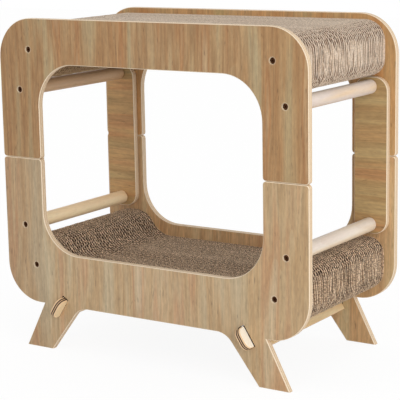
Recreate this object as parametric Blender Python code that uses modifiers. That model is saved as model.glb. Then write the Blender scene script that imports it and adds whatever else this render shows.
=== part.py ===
"""Cat scratcher house: two plywood frames, each of an upper and a lower half, with dowel rails, splice plates,
leg stretchers and two dished scratch pads of corrugated cardboard that hang on dowel rods between the frames.

The front faces -Y, +Z is up, and the origin lies on the floor under the middle of the house. All sizes are in metres.
"""

import math

import bmesh
import bpy
from mathutils import Matrix, Vector

# Frame
FRAME_WIDTH = 0.500
FRAME_DEPTH = 0.256  # over the outer faces of the two frames
PLY_THICKNESS = 0.009
TOP_BAR = 0.063
BOTTOM_BAR = 0.075
COLUMN_WIDTH = 0.068
OPENING_HEIGHT = 0.270
OUTER_CORNER_RADIUS = 0.056
OPENING_CORNER_RADIUS = 0.060
SEAM_CORNER_RADIUS = 0.0045
SEAM_GAP = 0.0006
EDGE_EASING = 0.0008

# Legs, cut in one with the lower frame halves
LEG_HEIGHT = 0.067
LEG_TOP_INSET = 0.0645  # from the frame's side to the top of the leg's outer edge
LEG_TOP_WIDTH = 0.063
FOOT_INSET = 0.030  # from the frame's side to the foot's outer corner
FOOT_WIDTH = 0.0463
LEG_FILLET_RADIUS = 0.029

# Scratch pads
PAD_END_RECESS = 0.0165  # from the frame's side to the pad's end
PAD_THICKNESS = 0.0785
PAD_PLAIN_SIDE = 0.038  # from the middle of the bores to the pad's plain face
PAD_END_RADIUS = 0.030  # on the plain side
PAD_RIM_END_RADIUS = 0.024
DISH_DEPTH = 0.0365
RIM_FLAT = 0.014  # level top of the rim, between its two rounds
RIM_RADIUS = 0.034
DISH_FILLET_RADIUS = 0.040
STRIP_BUNDLES = 13  # an odd number, so that no groove runs through the pad's middle
STRIP_GROOVE_DEPTH = 0.004
STRIP_GROOVE_WIDTH = 0.006
PAD_ARC_SAG = 0.0003  # how far a facet of a pad may lie inside its arc

# Rods that carry the pads
PAD_ROD_RADIUS = 0.006
PAD_ROD_PLAY = 0.003  # how much wider the pad's bore is than the rod, on the radius
PAD_ROD_INSET = 0.0355  # from the pad's end to the rod
PAD_ROD_FROM_OPENING = 0.0195  # from the opening's edge into the bar

# Rails and splice plates at the seams
RAIL_RADIUS = 0.010
RAIL_END_MARGIN = 0.0135  # from the rail's axis to the splice plate's end
SPLICE_THICKNESS = 0.009
SPLICE_SIDE_MARGIN = 0.0085  # from the column's edge to the splice plate
SPLICE_CORNER_RADIUS = 0.020
SPLICE_TO_PAD = 0.0003

# Stretchers between the legs
STRETCHER_THICKNESS = 0.009
TENON_WIDTH = 0.0305
TENON_REACH = 0.0155  # beyond the frame's outer face
TENON_CORNER_RADIUS = 0.010
LOWER_SHOULDER = 0.008
UPPER_SHOULDER = 0.0012
SLOT_PLAY = 0.0015  # spare room in the slot above and outside the tenon
STRETCHER_TO_PAD = 0.0005

# Screws
SCREW_SHANK_RADIUS = 0.0025
SCREW_HEAD_RADIUS = 0.0041
SCREW_HEAD_HEIGHT = 0.003
SCREW_HEAD_CHAMFER = 0.0005
SCREW_LENGTH = 0.040  # under the head
SCREW_POINT = 0.006
SCREW_SOCKET_RADIUS = 0.002
SCREW_SOCKET_DEPTH = 0.0018
COUNTERBORE_DEPTH = 0.005
PILOT_SPARE_DEPTH = 0.002

# Shared
FIT_GAP = 0.0003  # between pieces that touch
DOWEL_CHAMFER = 0.0015
ARC_SAG = 0.0001  # how far any other facet may lie inside its arc
RAIL_SIDES = 32
ROD_SIDES = 20
BORE_SIDES = 20
SCREW_SIDES = 12
OVERCUT = 0.002  # how far a cutter runs past the face that it opens
WELD = 0.00001  # points closer than this become one
RIM_ANGLE = math.radians(60)  # edges sharper than this are eased
SMOOTH_ANGLE = math.radians(30)  # edges blunter than this are shaded smooth

# Places that follow from the sizes above
half_width = FRAME_WIDTH / 2
outer_face = FRAME_DEPTH / 2
inner_face = outer_face - PLY_THICKNESS
opening_bottom = LEG_HEIGHT + BOTTOM_BAR
opening_top = opening_bottom + OPENING_HEIGHT
frame_top = opening_top + TOP_BAR
seam_height = opening_bottom + OPENING_HEIGHT / 2
opening_side = half_width - COLUMN_WIDTH
column_middle = half_width - COLUMN_WIDTH / 2

pad_half_length = half_width - PAD_END_RECESS
pad_rod_x = pad_half_length - PAD_ROD_INSET
pad_rod_rise = OPENING_HEIGHT / 2 + PAD_ROD_FROM_OPENING  # from the seam
pad_drop = PAD_ROD_PLAY - FIT_GAP  # how far a pad hangs below the middle of its rods
upper_pad_middle = seam_height + pad_rod_rise - pad_drop
lower_pad_middle = seam_height - pad_rod_rise - pad_drop
pad_rim_side = PAD_THICKNESS - PAD_PLAIN_SIDE  # from the middle of the bores to the top of the rim
upper_pad_underside = upper_pad_middle - pad_rim_side
lower_pad_underside = lower_pad_middle - PAD_PLAIN_SIDE

splice_width = COLUMN_WIDTH - 2 * SPLICE_SIDE_MARGIN
splice_reach = upper_pad_underside - SPLICE_TO_PAD - seam_height  # from the seam to the plate's end
rail_rise = splice_reach - RAIL_END_MARGIN  # from the seam
splice_face = inner_face - FIT_GAP - SPLICE_THICKNESS
rail_end = splice_face - FIT_GAP
rod_end = inner_face - FIT_GAP

leg_top_middle = half_width - LEG_TOP_INSET - LEG_TOP_WIDTH / 2
foot_middle = half_width - FOOT_INSET - FOOT_WIDTH / 2
leg_lean = math.atan2(foot_middle - leg_top_middle, LEG_HEIGHT)
stretcher_z = (
    lower_pad_underside
    - STRETCHER_TO_PAD
    - (TENON_WIDTH / 2 + UPPER_SHOULDER) * math.cos(leg_lean)
    - STRETCHER_THICKNESS / 2 * math.sin(leg_lean)
)
stretcher_x = foot_middle - stretcher_z * math.tan(leg_lean)

screw_seat = outer_face - COUNTERBORE_DEPTH + FIT_GAP  # underside of the head

FACES = {"front": -1, "back": 1}  # signs along Y
SIDES = {"left": -1, "right": 1}  # signs along X
LEVELS = {"lower": -1, "upper": 1}  # signs along Z from the seam


def empty_scene():
    """Removes what the file holds and makes one collection for the parts and one for the cutters."""
    for old in list(bpy.data.objects):
        bpy.data.objects.remove(old)
    made = []
    for name in ("cat_scratcher_house", "cutters"):
        collection = bpy.data.collections.new(name)
        bpy.context.scene.collection.children.link(collection)
        made.append(collection)
    return made


parts, cutters = empty_scene()


def principled(name, colour, roughness, metallic=0.0):
    """A plain material of one colour."""
    material = bpy.data.materials.new(name)
    material.use_nodes = True
    shader = material.node_tree.nodes["Principled BSDF"]
    shader.inputs["Base Color"].default_value = (*colour, 1)
    shader.inputs["Roughness"].default_value = roughness
    shader.inputs["Metallic"].default_value = metallic
    return material


plywood = principled("plywood", (0.42, 0.25, 0.12), 0.6)
dowel_wood = principled("dowel_wood", (0.62, 0.46, 0.30), 0.55)
stretcher_wood = principled("stretcher_wood", (0.72, 0.54, 0.30), 0.6)
cardboard = principled("cardboard", (0.40, 0.28, 0.18), 0.9)
screw_steel = principled("screw_steel", (0.06, 0.05, 0.05), 0.45, 0.9)


def link(piece, collection, material=None):
    """Puts an object in its collection, with its material."""
    collection.objects.link(piece)
    if material:
        piece.data.materials.clear()
        piece.data.materials.append(material)
    if collection is cutters:
        piece.hide_render = True
        piece.display_type = "WIRE"
    return piece


def smooth(mesh):
    """Shades the round walls of a mesh smooth and keeps its edges sharp."""
    mesh.shade_smooth()
    mesh.set_sharp_from_angle(angle=SMOOTH_ANGLE)


def arc(centre, radius, start, end, sag=ARC_SAG):
    """Points on an arc, both ends included, with angles in radians. Small arcs get few facets."""
    facet = 2 * math.acos(max(0.0, 1 - sag / radius))
    steps = max(2, math.ceil(abs(end - start) / facet))
    angles = [start + (end - start) * i / steps for i in range(steps + 1)]
    return [(centre[0] + radius * math.cos(a), centre[1] + radius * math.sin(a)) for a in angles]


def rounded(corners):
    """A closed outline through corners (x, y, radius), each rounded by an arc of its radius."""
    outline = []
    for i, (x, y, radius) in enumerate(corners):
        corner = Vector((x, y))
        back = (Vector(corners[i - 1][:2]) - corner).normalized()
        ahead = (Vector(corners[(i + 1) % len(corners)][:2]) - corner).normalized()
        if radius == 0:
            outline.append((x, y))
            continue
        half_angle = back.angle(ahead) / 2
        centre = corner + (back + ahead).normalized() * radius / math.sin(half_angle)
        start = corner + back * radius / math.tan(half_angle) - centre
        end = corner + ahead * radius / math.tan(half_angle) - centre
        first = math.atan2(start.y, start.x)
        turn = (math.atan2(end.y, end.x) - first + math.pi) % math.tau - math.pi
        outline += arc(centre, radius, first, first + turn)
    return outline


def board(name, outline, thickness, easing=0.0):
    """A mesh of a flat outline in XY, its thickness centred on Z, with eased edges."""
    curve = bpy.data.curves.new(name, "CURVE")
    curve.dimensions = "2D"
    curve.fill_mode = "BOTH"
    curve.extrude = thickness / 2
    spline = curve.splines.new("POLY")
    spline.points.add(len(outline) - 1)
    for point, (x, y) in zip(spline.points, outline):
        point.co = (x, y, 0, 1)
    spline.use_cyclic_u = True
    flat = link(bpy.data.objects.new(name, curve), cutters)

    mesh = bpy.data.meshes.new_from_object(flat.evaluated_get(bpy.context.evaluated_depsgraph_get()))
    shape = bmesh.new()
    shape.from_mesh(mesh)
    bmesh.ops.remove_doubles(shape, verts=shape.verts, dist=WELD)
    walls = [face for face in shape.faces if len({round(corner.co.z, 6) for corner in face.verts}) > 1]
    caps = [face for face in shape.faces if face not in walls]
    bmesh.ops.delete(shape, geom=caps, context="FACES")
    bmesh.ops.edgeloop_fill(shape, edges=[edge for edge in shape.edges if edge.is_boundary])
    bmesh.ops.recalc_face_normals(shape, faces=shape.faces)
    if easing:
        rims = [edge for edge in shape.edges if edge.calc_face_angle() > RIM_ANGLE]
        rims = [edge for edge in rims if abs(edge.verts[0].co.z - edge.verts[1].co.z) < thickness / 2]
        bmesh.ops.bevel(shape, geom=rims, offset=easing, segments=1, affect="EDGES")
    shape.to_mesh(mesh)
    shape.free()
    bpy.data.objects.remove(flat)
    bpy.data.curves.remove(curve)
    mesh.name = name
    smooth(mesh)
    return mesh


def dowel(name, radius, length, sides, chamfer=0.0):
    """A mesh of a round bar along Y, with chamfered ends."""
    shape = bmesh.new()
    along_y = Matrix.Rotation(math.pi / 2, 4, "X")
    bmesh.ops.create_cone(
        shape, cap_ends=True, segments=sides, radius1=radius, radius2=radius, depth=length, matrix=along_y
    )
    if chamfer:
        rims = [edge for edge in shape.edges if edge.calc_face_angle() > RIM_ANGLE]
        bmesh.ops.bevel(shape, geom=rims, offset=chamfer, segments=1, affect="EDGES")
    mesh = bpy.data.meshes.new(name)
    shape.to_mesh(mesh)
    shape.free()
    smooth(mesh)
    return mesh


def cutter(name, mesh, place=(0, 0, 0), turn=(0, 0, 0)):
    """A hidden object that cuts others."""
    tool = link(bpy.data.objects.new(name, mesh), cutters)
    tool.location = place
    tool.rotation_euler = turn
    return tool


def cut(piece, tools):
    """Subtracts each tool from a piece, and splits the faces that are left into well-shaped triangles."""
    for tool in tools:
        modifier = piece.modifiers.new(tool.name, "BOOLEAN")
        modifier.operation = "DIFFERENCE"
        modifier.solver = "EXACT"
        modifier.object = tool
    piece.modifiers.new("triangles", "TRIANGULATE").ngon_method = "BEAUTY"


def turned(name, profile, sides):
    """An object turned about Z from a profile of (radius, height), which runs down its outer side."""
    mesh = bpy.data.meshes.new(name)
    edges = [(i, i + 1) for i in range(len(profile) - 1)]
    mesh.from_pydata([(radius, 0, height) for radius, height in profile], edges, [])
    piece = bpy.data.objects.new(name, mesh)
    screw = piece.modifiers.new("turn", "SCREW")
    screw.steps = sides
    screw.render_steps = sides
    screw.use_merge_vertices = True
    screw.merge_threshold = WELD
    return piece


def frame_outline(level):
    """Outline of an upper or lower frame half, with X across and Y up from the floor."""
    upper = level == "upper"
    seam = seam_height + (SEAM_GAP / 2 if upper else -SEAM_GAP / 2)
    outer_end = frame_top if upper else LEG_HEIGHT
    opening_end = opening_top if upper else opening_bottom
    right = [
        (opening_side, opening_end, OPENING_CORNER_RADIUS),
        (opening_side, seam, SEAM_CORNER_RADIUS),
        (half_width, seam, SEAM_CORNER_RADIUS),
        (half_width, outer_end, OUTER_CORNER_RADIUS),
    ]
    if not upper:
        foot_outside = half_width - FOOT_INSET
        leg_outside = half_width - LEG_TOP_INSET
        right += [
            (leg_outside, LEG_HEIGHT, 0),
            (foot_outside, 0, 0),
            (foot_outside - FOOT_WIDTH, 0, 0),
            (leg_outside - LEG_TOP_WIDTH, LEG_HEIGHT, LEG_FILLET_RADIUS),
        ]
    left = [(-x, y, radius) for x, y, radius in reversed(right)]
    return rounded(right + left)


def pad_outline():
    """Outline of a scratch pad about the middle of its bores, with X across and the dished side up."""
    reach = RIM_RADIUS + DISH_FILLET_RADIUS
    slope = math.acos(max(0.0, 1 - DISH_DEPTH / reach))  # steepest angle of the dish's wall
    top = pad_rim_side
    quarter = math.pi / 2
    rim_round_x = pad_half_length - PAD_RIM_END_RADIUS
    rim_x = rim_round_x - RIM_FLAT
    fillet_x = rim_x - reach * math.sin(slope)
    fillet_y = top - DISH_DEPTH + DISH_FILLET_RADIUS
    right = (
        arc((fillet_x, fillet_y), DISH_FILLET_RADIUS, -quarter, slope - quarter, PAD_ARC_SAG)
        + arc((rim_x, top - RIM_RADIUS), RIM_RADIUS, quarter + slope, quarter, PAD_ARC_SAG)
        + arc((rim_round_x, top - PAD_RIM_END_RADIUS), PAD_RIM_END_RADIUS, quarter, 0, PAD_ARC_SAG)
        + arc((pad_half_length - PAD_END_RADIUS, PAD_END_RADIUS - PAD_PLAIN_SIDE), PAD_END_RADIUS, 0, -quarter, PAD_ARC_SAG)
    )
    return right + [(-x, y) for x, y in reversed(right)]


def groove(mesh, thickness):
    """Presses a V-groove round a pad's walls between each two bundles of its strips."""
    shape = bmesh.new()
    shape.from_mesh(mesh)
    bottoms = []
    for i in range(1, STRIP_BUNDLES):
        middle = thickness * (i / STRIP_BUNDLES - 0.5)
        for offset in (-STRIP_GROOVE_WIDTH / 2, 0, STRIP_GROOVE_WIDTH / 2):
            everything = shape.verts[:] + shape.edges[:] + shape.faces[:]
            ring = bmesh.ops.bisect_plane(
                shape, geom=everything, dist=WELD, plane_co=(0, 0, middle + offset), plane_no=(0, 0, 1)
            )
            if offset == 0:
                bottoms += [corner for corner in ring["geom_cut"] if isinstance(corner, bmesh.types.BMVert)]
    shape.normal_update()
    for corner in bottoms:
        corner.co -= corner.normal * corner.calc_shell_factor() * STRIP_GROOVE_DEPTH
    shape.to_mesh(mesh)
    shape.free()
    smooth(mesh)
    return mesh


def splice_outline():
    """Outline of a splice plate about its middle."""
    side = splice_width / 2
    radius = min(SPLICE_CORNER_RADIUS, side)
    corners = ((side, -splice_reach), (side, splice_reach), (-side, splice_reach), (-side, -splice_reach))
    return rounded([(x, y, radius) for x, y in corners])


def stretcher_outline():
    """Outline of a leg stretcher about the middle of its tenons, with X along the board and Y up its width."""
    body_end = inner_face - FIT_GAP
    tenon_end = outer_face + TENON_REACH
    tenon_side = TENON_WIDTH / 2
    right = [
        (body_end, -tenon_side - LOWER_SHOULDER, 0),
        (body_end, -tenon_side, 0),
        (tenon_end, -tenon_side, TENON_CORNER_RADIUS),
        (tenon_end, tenon_side, TENON_CORNER_RADIUS),
        (body_end, tenon_side, 0),
        (body_end, tenon_side + UPPER_SHOULDER, 0),
    ]
    return rounded(right + [(-x, y, radius) for x, y, radius in reversed(right)])


def screw_axes():
    """Name, X and Z of each screw in a frame, by level and side."""
    for level, up in LEVELS.items():
        for side, out in SIDES.items():
            yield level, f"{level}_{side}_rail", out * column_middle, seam_height + up * rail_rise
            yield level, f"{level}_{side}_pad_rod", out * pad_rod_x, seam_height + up * pad_rod_rise


def make_bores():
    """Cutters along each screw's axis: its shank's bore through the plywood, and the counterbore for its head."""
    shank = dowel("shank_bore", SCREW_SHANK_RADIUS + FIT_GAP, FRAME_DEPTH + 2 * OVERCUT, BORE_SIDES)
    head_length = COUNTERBORE_DEPTH + OVERCUT
    head = dowel("head_bore", SCREW_HEAD_RADIUS + FIT_GAP, head_length, BORE_SIDES)
    middle = outer_face - COUNTERBORE_DEPTH + head_length / 2
    bores = {}
    for level, name, x, z in screw_axes():
        shank_tool = cutter(f"{name}_shank_bore", shank, (x, 0, z))
        for face, forward in FACES.items():
            head_tool = cutter(f"{face}_{name}_head_bore", head, (x, forward * middle, z))
            bores.setdefault((face, level), []).extend([shank_tool, head_tool])
    return bores


def stretcher_matrix(out):
    """Place of a stretcher: its length along Y, leaning with the legs on the side that out gives."""
    lean = Matrix.Rotation(-out * leg_lean, 4, "Y")
    stand = Matrix.Rotation(math.pi / 2, 4, "Z") @ Matrix.Rotation(math.pi / 2, 4, "X")
    return Matrix.Translation((out * stretcher_x, 0, stretcher_z)) @ lean @ stand


def make_slots():
    """Cutters for the slots that the tenons pass through."""
    width = TENON_WIDTH + FIT_GAP + SLOT_PLAY
    thickness = STRETCHER_THICKNESS + FIT_GAP + SLOT_PLAY
    shift = (SLOT_PLAY - FIT_GAP) / 2
    slots = []
    for side, out in SIDES.items():
        shape = bmesh.new()
        size = Matrix.Diagonal((FRAME_DEPTH + 2 * OVERCUT, width, thickness, 1))
        bmesh.ops.create_cube(shape, size=1, matrix=Matrix.Translation((0, shift, out * shift)) @ size)
        mesh = bpy.data.meshes.new(f"{side}_slot")
        shape.to_mesh(mesh)
        shape.free()
        tool = cutter(f"{side}_slot", mesh)
        tool.matrix_world = stretcher_matrix(out)
        slots.append(tool)
    return slots


def make_frames(bores, slots):
    """The four frame halves, standing on their outlines, bored for the screws and slotted for the tenons."""
    for level in LEVELS:
        outline = frame_outline(level)
        for face, forward in FACES.items():
            name = f"{face}_{level}_frame"
            half = link(bpy.data.objects.new(name, board(name, outline, PLY_THICKNESS, EDGE_EASING)), parts, plywood)
            half.rotation_euler = (math.pi / 2, 0, 0)
            half.location = (0, forward * (outer_face - PLY_THICKNESS / 2), 0)
            cut(half, bores[face, level] + (slots if level == "lower" else []))


def make_splice_plates():
    """A plate behind each seam, held by the two rail screws that pass through it."""
    outline = splice_outline()
    for face, forward in FACES.items():
        for side, out in SIDES.items():
            name = f"{face}_{side}_splice_plate"
            mesh = board(name, outline, SPLICE_THICKNESS, EDGE_EASING)
            plate = link(bpy.data.objects.new(name, mesh), parts, plywood)
            plate.rotation_euler = (math.pi / 2, 0, 0)
            plate.location = (out * column_middle, forward * (splice_face + SPLICE_THICKNESS / 2), seam_height)
            cut(plate, [cutters.objects[f"{level}_{side}_rail_shank_bore"] for level in LEVELS])


def make_dowel_bars():
    """The rails and the pad rods, each with a blind pilot hole for a screw in both ends."""
    kinds = {
        "rail": (RAIL_RADIUS, rail_end, RAIL_SIDES, DOWEL_CHAMFER),
        "pad_rod": (PAD_ROD_RADIUS, rod_end, ROD_SIDES, DOWEL_CHAMFER),
    }
    pilot_end = screw_seat - SCREW_LENGTH - PILOT_SPARE_DEPTH
    for level, name, x, z in screw_axes():
        kind = "rail" if name.endswith("rail") else "pad_rod"
        radius, end, sides, chamfer = kinds[kind]
        bar = link(bpy.data.objects.new(name, dowel(name, radius, 2 * end, sides, chamfer)), parts, dowel_wood)
        bar.location = (x, 0, z)
        length = end + OVERCUT - pilot_end
        pilot = dowel(f"{name}_pilot", SCREW_SHANK_RADIUS + FIT_GAP, length, BORE_SIDES)
        middle = pilot_end + length / 2
        cut(bar, [cutter(f"{face}_{name}_pilot", pilot, (x, forward * middle, z)) for face, forward in FACES.items()])


def make_pads():
    """Two like pads between the frames: the lower one with its dish up, the upper one turned over.

    A real pad is glued from narrow strips of corrugated board. The grooves stand for the relief of their open flutes.
    """
    pad_width = 2 * (inner_face - FIT_GAP)
    bore = dowel("pad_bore", PAD_ROD_RADIUS + PAD_ROD_PLAY, pad_width + 2 * OVERCUT, BORE_SIDES)
    middles = {"lower": lower_pad_middle, "upper": upper_pad_middle}
    for level, middle in middles.items():
        name = f"{level}_scratch_pad"
        mesh = groove(board(name, pad_outline(), pad_width), pad_width)
        pad = link(bpy.data.objects.new(name, mesh), parts, cardboard)
        pad.rotation_euler = (math.pi / 2 if level == "lower" else -math.pi / 2, 0, 0)
        pad.location = (0, 0, middle)
        cut(pad, [cutter(f"{level}_{side}_pad_bore", bore, (out * pad_rod_x, 0, middle)) for side, out in SIDES.items()])


def make_stretchers():
    """The two boards that join the front legs to the back legs."""
    for side, out in SIDES.items():
        name = f"{side}_stretcher"
        mesh = board(name, stretcher_outline(), STRETCHER_THICKNESS, EDGE_EASING)
        link(bpy.data.objects.new(name, mesh), parts, stretcher_wood).matrix_world = stretcher_matrix(out)


def screw_mesh():
    """A socket-head wood screw, its head's underside at the origin and its point down."""
    outer = SCREW_HEAD_RADIUS
    profile = [
        (0, SCREW_HEAD_HEIGHT),
        (outer - SCREW_HEAD_CHAMFER, SCREW_HEAD_HEIGHT),
        (outer, SCREW_HEAD_HEIGHT - SCREW_HEAD_CHAMFER),
        (outer, 0),
        (SCREW_SHANK_RADIUS, 0),
        (SCREW_SHANK_RADIUS, SCREW_POINT - SCREW_LENGTH),
        (0, -SCREW_LENGTH),
    ]
    screw = link(turned("screw", profile, SCREW_SIDES), cutters)
    shape = bmesh.new()
    depth = SCREW_SOCKET_DEPTH + OVERCUT
    lift = Matrix.Translation((0, 0, SCREW_HEAD_HEIGHT - SCREW_SOCKET_DEPTH + depth / 2))
    bmesh.ops.create_cone(
        shape, cap_ends=True, segments=6, radius1=SCREW_SOCKET_RADIUS, radius2=SCREW_SOCKET_RADIUS, depth=depth, matrix=lift
    )
    socket = bpy.data.meshes.new("screw_socket")
    shape.to_mesh(socket)
    shape.free()
    cut(screw, [cutter("screw_socket", socket)])
    bpy.context.view_layer.update()
    mesh = bpy.data.meshes.new_from_object(screw.evaluated_get(bpy.context.evaluated_depsgraph_get()))
    bpy.data.objects.remove(screw)
    smooth(mesh)
    mesh.name = "screw"
    return mesh


def make_screws():
    """Eight screws in each frame, heads outward, into the ends of the rails and rods."""
    mesh = screw_mesh()
    for face, forward in FACES.items():
        for level, name, x, z in screw_axes():
            screw = link(bpy.data.objects.new(f"{face}_{name}_screw", mesh), parts, screw_steel)
            screw.location = (x, forward * screw_seat, z)
            screw.rotation_euler = (-forward * math.pi / 2, 0, 0)


make_frames(make_bores(), make_slots())
make_splice_plates()
make_dowel_bars()
make_pads()
make_stretchers()
make_screws()
bpy.context.view_layer.update()
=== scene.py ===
# %% [markdown]
# # A wooden cat scratcher house
#
# The house is a knock-down kit: two plywood frames, front and back, each cut as an upper and a
# lower half, with round rails between them and two blocks of corrugated cardboard, one as the
# bed and one as the roof. The solid pieces are modelled elsewhere, at their real size in metres,
# with the front towards -Y and the floor at Z = 0. This lesson loads them, gives each one the
# finish that it has in a studio photograph, and builds the cardboard out of paper sheets.

# %% Load the solid pieces
import math
from collections import namedtuple

import bpy
from mathutils import Matrix, Vector
from mathutils.bvhtree import BVHTree
from mathutils.noise import noise


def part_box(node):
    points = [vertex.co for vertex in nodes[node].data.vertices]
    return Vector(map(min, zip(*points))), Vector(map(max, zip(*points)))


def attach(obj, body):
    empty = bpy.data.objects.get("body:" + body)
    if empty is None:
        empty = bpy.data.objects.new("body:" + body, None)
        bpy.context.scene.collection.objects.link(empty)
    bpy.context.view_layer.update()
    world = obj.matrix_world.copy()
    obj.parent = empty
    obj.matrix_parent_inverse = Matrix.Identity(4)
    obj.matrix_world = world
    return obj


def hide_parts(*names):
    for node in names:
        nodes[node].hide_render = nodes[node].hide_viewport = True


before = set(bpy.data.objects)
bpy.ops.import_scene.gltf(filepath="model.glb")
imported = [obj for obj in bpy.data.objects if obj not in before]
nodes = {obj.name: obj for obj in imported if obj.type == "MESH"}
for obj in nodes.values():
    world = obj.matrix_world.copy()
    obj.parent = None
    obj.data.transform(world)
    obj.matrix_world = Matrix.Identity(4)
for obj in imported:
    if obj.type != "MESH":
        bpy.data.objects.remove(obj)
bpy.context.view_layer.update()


def short(values):
    """Numbers rounded for printing."""
    return tuple(round(value, 4) for value in values)


# %% [markdown]
# ## The camera
#
# A camera can be placed by eye, but then every edge of the render lies a little off the
# photograph. This one was fitted: its place, its turn and its focal length are the ones at which
# the corners of the frames, the feet and the screw holes fall where the photograph shows them.
# It stands to the right of the front, a little above the roof, and looks slightly down through a
# long lens, which keeps the upright edges nearly parallel. The three turns are applied one after
# the other, first about the vertical, then up or down, and last about the line of sight.

# %% Place the camera
CAMERA_PLACE = (1.1255, -1.7020, 0.6149)
CAMERA_TURNS = (33.4433, -11.1415, -1.047)  # yaw, pitch and roll, in degrees
FOCAL_LENGTH, SENSOR_WIDTH = 131.29, 36  # mm

yaw, pitch, roll = (math.radians(angle) for angle in CAMERA_TURNS)
camera = bpy.data.objects.new("camera", bpy.data.cameras.new("camera"))
bpy.context.scene.collection.objects.link(camera)
bpy.context.scene.camera = camera
camera.data.lens = FOCAL_LENGTH
camera.data.sensor_width = SENSOR_WIDTH
camera.data.sensor_fit = "HORIZONTAL"
camera.matrix_world = (
    Matrix.Translation(CAMERA_PLACE)
    @ Matrix.Rotation(yaw, 4, "Z")
    @ Matrix.Rotation(math.pi / 2 + pitch, 4, "X")
    @ Matrix.Rotation(roll, 4, "Z")
)
print("camera at", CAMERA_PLACE, "with a lens of", FOCAL_LENGTH, "mm")

# %% [markdown]
# ## Shader maths as Python
#
# Every finish here is worked out by nodes, and most of a wood's colour is arithmetic: a distance
# from an axis, a share of a board's thickness, a noise that is stretched along the grain. Adding
# the nodes one by one hides that arithmetic in pages of links. A small class that wraps one
# socket lets it be written as Python: `1 - mask` adds a Math node, and `node()` adds a node of
# any other kind. Colours are mixed with `blend()` and dimmed with `scaled()`, because a Math
# node would turn them grey.

# %% A wire between nodes
class Wire:
    """One output in a material's nodes. Python's operators on it add Math nodes."""

    def __init__(self, tree, socket=None):
        self.tree = tree
        self.socket = socket

    def node(self, kind, settings, sockets, output=0):
        """Adds a node: first its settings, then its sockets' values or wires. Gives one output."""
        added = self.tree.nodes.new("ShaderNode" + kind)
        for name, value in settings.items():
            if name in ("stops", "steps"):
                set_stops(added.color_ramp, value, name)
            else:
                setattr(added, name, value)
        for name, value in sockets.items():
            if isinstance(value, Wire):
                self.tree.links.new(value.socket, added.inputs[name])
            else:
                added.inputs[name].default_value = value
        return Wire(self.tree, added.outputs[output] if added.outputs else None)

    def maths(self, operation, *values):
        return self.node("Math", {"operation": operation}, dict(enumerate(values)))

    def __add__(self, other):
        return self.maths("ADD", self, other)

    def __sub__(self, other):
        return self.maths("SUBTRACT", self, other)

    def __rsub__(self, other):
        return self.maths("SUBTRACT", other, self)

    def __mul__(self, other):
        return self.maths("MULTIPLY", self, other)

    def __truediv__(self, other):
        return self.maths("DIVIDE", self, other)

    def __mod__(self, other):
        return self.maths("FLOORED_MODULO", self, other)

    def __pow__(self, other):
        return self.maths("POWER", self, other)

    def __abs__(self):
        return self.maths("ABSOLUTE", self)

    def __gt__(self, other):
        return self.maths("GREATER_THAN", self, other)

    def __lt__(self, other):
        return self.maths("LESS_THAN", self, other)

    __radd__ = __add__
    __rmul__ = __mul__

    def larger(self, other):
        return self.maths("MAXIMUM", self, other)

    def smaller(self, other):
        return self.maths("MINIMUM", self, other)

    def rise(self, low, high):
        """Goes softly from 0 to 1 as this value goes from low to high."""
        soft = {"interpolation_type": "SMOOTHSTEP"}
        return self.node("MapRange", soft, {"Value": self, 1: low, 2: high})

    def blend(self, low, high, kind="MIX"):
        """A colour that goes from one to another as this value goes from 0 to 1."""
        settings = {"data_type": "RGBA", "blend_type": kind}
        return self.node("Mix", settings, {0: self, 6: low, 7: high}, 2)

    def times(self, tone):
        """This colour multiplied by another."""
        settings = {"data_type": "RGBA", "blend_type": "MULTIPLY"}
        return self.node("Mix", settings, {0: 1.0, 6: self, 7: tone}, 2)

    def scaled(self, light):
        """This colour made lighter or darker by one factor."""
        return self.node("VectorMath", {"operation": "SCALE"}, {0: self, "Scale": light})

    def ramp(self, stops, kind="stops"):
        """A colour for each value, from (value, colour) stops, or with steps between them."""
        return self.node("ValToRGB", {kind: stops}, {0: self})


def set_stops(ramp, stops, kind):
    """Fills a colour ramp, which starts with two stops. A step holds up to the next one."""
    ramp.interpolation = "CONSTANT" if kind == "steps" else "LINEAR"
    while len(ramp.elements) < len(stops):
        ramp.elements.new(0.5)
    for element, (place, colour) in zip(ramp.elements, stops):
        element.position = place
        element.color = colour


print("a wire has", sum(name.startswith("__r") for name in vars(Wire)), "reflected operators")

# %% [markdown]
# ## Colours and materials
#
# A colour that is read off a photograph is encoded for a screen, and shaders count in linear
# light, so `paint()` turns one into the other. Each finish starts as an empty material and a
# wire without a socket, which is only there to add the first nodes, and ends in a Principled
# shader, the one that fits wood, paper and steel alike.

# %% Start and end a material
def paint(red, green, blue):
    """A colour as read off a photograph, 0 to 255, turned into linear light."""
    shares = [channel / 255 for channel in (red, green, blue)]
    linear = [s / 12.92 if s < 0.04045 else ((s + 0.055) / 1.055) ** 2.4 for s in shares]
    return (*linear, 1)


def new_material(name):
    """An empty material, and the wire that its nodes start from."""
    material = bpy.data.materials.new(name)
    material.use_nodes = True
    material.node_tree.nodes.clear()
    return material, Wire(material.node_tree)


def surface(start, colour, **values):
    """Ends a material in a Principled shader."""
    shader = start.node("BsdfPrincipled", {}, {"Base Color": colour, **values})
    start.node("OutputMaterial", {}, {"Surface": shader})


print("mid grey in linear light", round(paint(128, 128, 128)[0], 4))

# %% [markdown]
# ## Places, directions and noise
#
# A mark in wood belongs to a place in it, so the nodes start from the point's own coordinates.
# All pieces stand where they were modelled, which makes these the room's metres, and the marks
# stay in the wood wherever the camera goes. The direction that the surface faces comes from its
# geometry. Noise gives every irregular mark, and it is counted in features per metre, so that
# its size can be read off a ruler.

# %% Read places, directions and noise
def place_of(start):
    """The point, as a vector in metres."""
    return start.node("TexCoord", {}, {}, "Object")


def split(vector):
    """X, Y and Z of a vector, as three wires."""
    return [vector.node("SeparateXYZ", {}, {0: vector}, axis) for axis in "XYZ"]


def position(start):
    """X, Y and Z of the point, in metres."""
    return split(place_of(start))


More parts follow.
